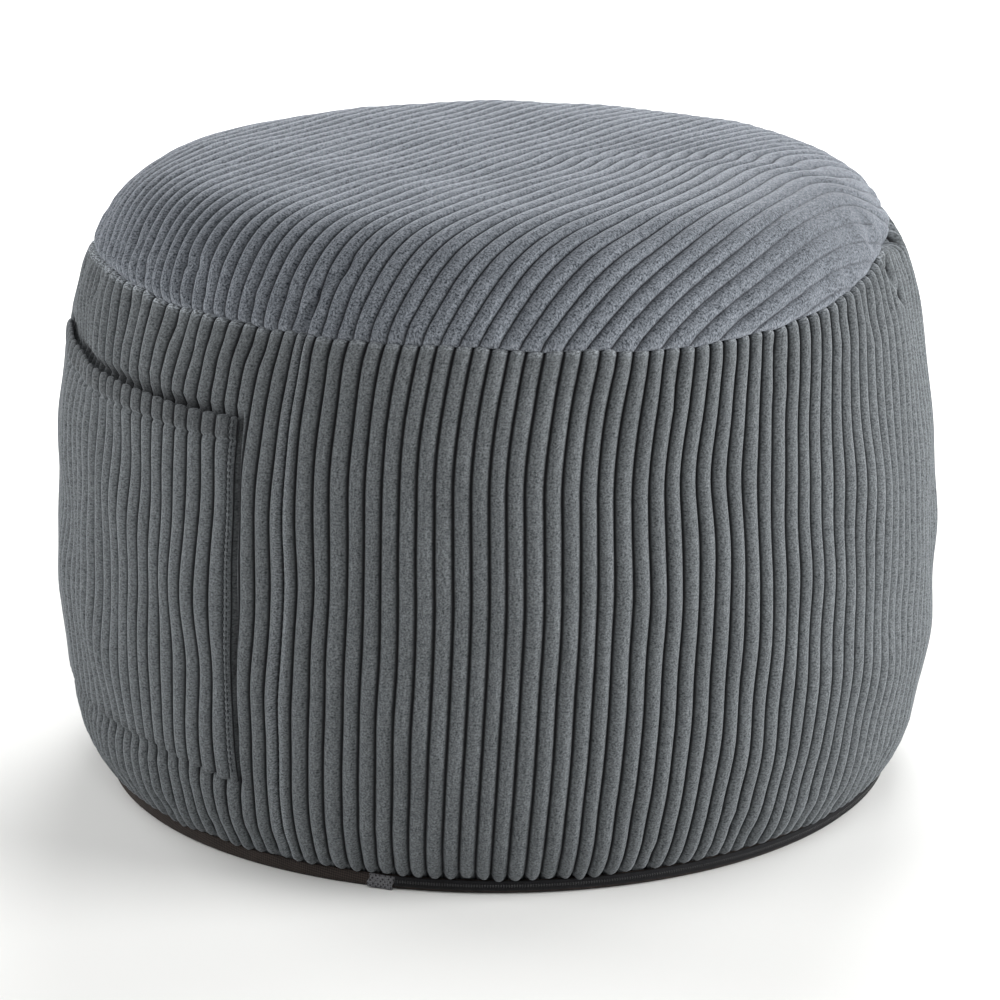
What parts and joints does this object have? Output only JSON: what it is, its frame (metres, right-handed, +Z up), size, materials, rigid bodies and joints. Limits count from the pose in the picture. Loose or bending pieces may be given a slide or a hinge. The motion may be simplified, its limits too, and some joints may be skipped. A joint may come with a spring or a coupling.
{
  "type": "pouf ottoman",
  "caption": "Round filled pouf ottoman in wide-wale corduroy, with a domed top, a side pocket and a zipped base.",
  "frame": {"origin": "centre of the underside, on the floor", "axes": "+Z up; -Y is the front; the pocket is on the left, towards -X"},
  "size_m": [0.5001, 0.5, 0.351],
  "materials": {
    "band_corduroy": "cut-pile wide-wale corduroy, mid grey with a green-blue tinge",
    "top_corduroy": "the same corduroy seen along its pile, a lighter blue-grey",
    "pocket_corduroy": "the same corduroy, hemmed and topstitched",
    "base_cloth": "plain woven brown-black base cloth",
    "zip": "black woven zip tape with a closed nylon coil",
    "cover_cloth": "grey woven tab with dark dots"
  },
  "bodies": {
    "root": {"side_band": "band_corduroy", "top_panel": "top_corduroy", "pocket": "pocket_corduroy", "base_panel": "base_cloth", "zip_tape": "zip", "zip_end_cover": "cover_cloth"}
  },
  "joints": []
}
